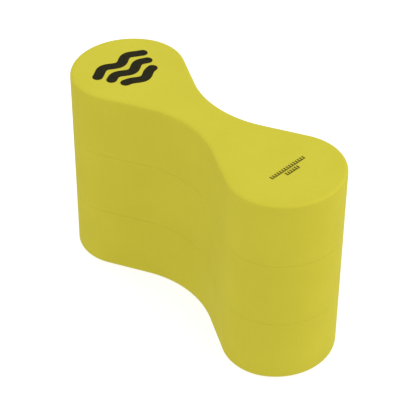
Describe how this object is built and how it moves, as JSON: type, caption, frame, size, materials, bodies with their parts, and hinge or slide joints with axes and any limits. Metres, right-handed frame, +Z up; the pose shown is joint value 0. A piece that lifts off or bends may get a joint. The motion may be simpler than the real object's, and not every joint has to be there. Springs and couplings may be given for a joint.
{
  "type": "pull buoy",
  "caption": "Figure-eight swimming float of glued foam sheets, standing on its end, with a hollow leg recess on each long side and wave marks on the top.",
  "frame": {"origin": "middle of the flat end that the float stands on", "axes": "+Z up through the stacked sheets, +X from the lobe with the wave marks to the lobe with the tick marks, +Y across, towards one leg recess"},
  "size_m": [0.24, 0.0854, 0.1526],
  "materials": {
    "eva_foam": "matte closed-cell EVA foam, lime yellow, with a soft sheen",
    "contact_adhesive": "dried contact adhesive, thin and slightly glossy",
    "print_ink": "matte black screen print",
    "faint_ink": "thin, partly see-through dark screen print"
  },
  "bodies": {
    "root": {"foam_layer_bottom": "eva_foam", "foam_layer_middle": "eva_foam", "foam_layer_top": "eva_foam", "lower_glue_film": "contact_adhesive", "upper_glue_film": "contact_adhesive", "print_wave_1": "print_ink", "print_wave_2": "print_ink", "print_wave_3": "print_ink", "print_tick_row_long": "faint_ink", "print_tick_row_short": "faint_ink"}
  },
  "joints": []
}
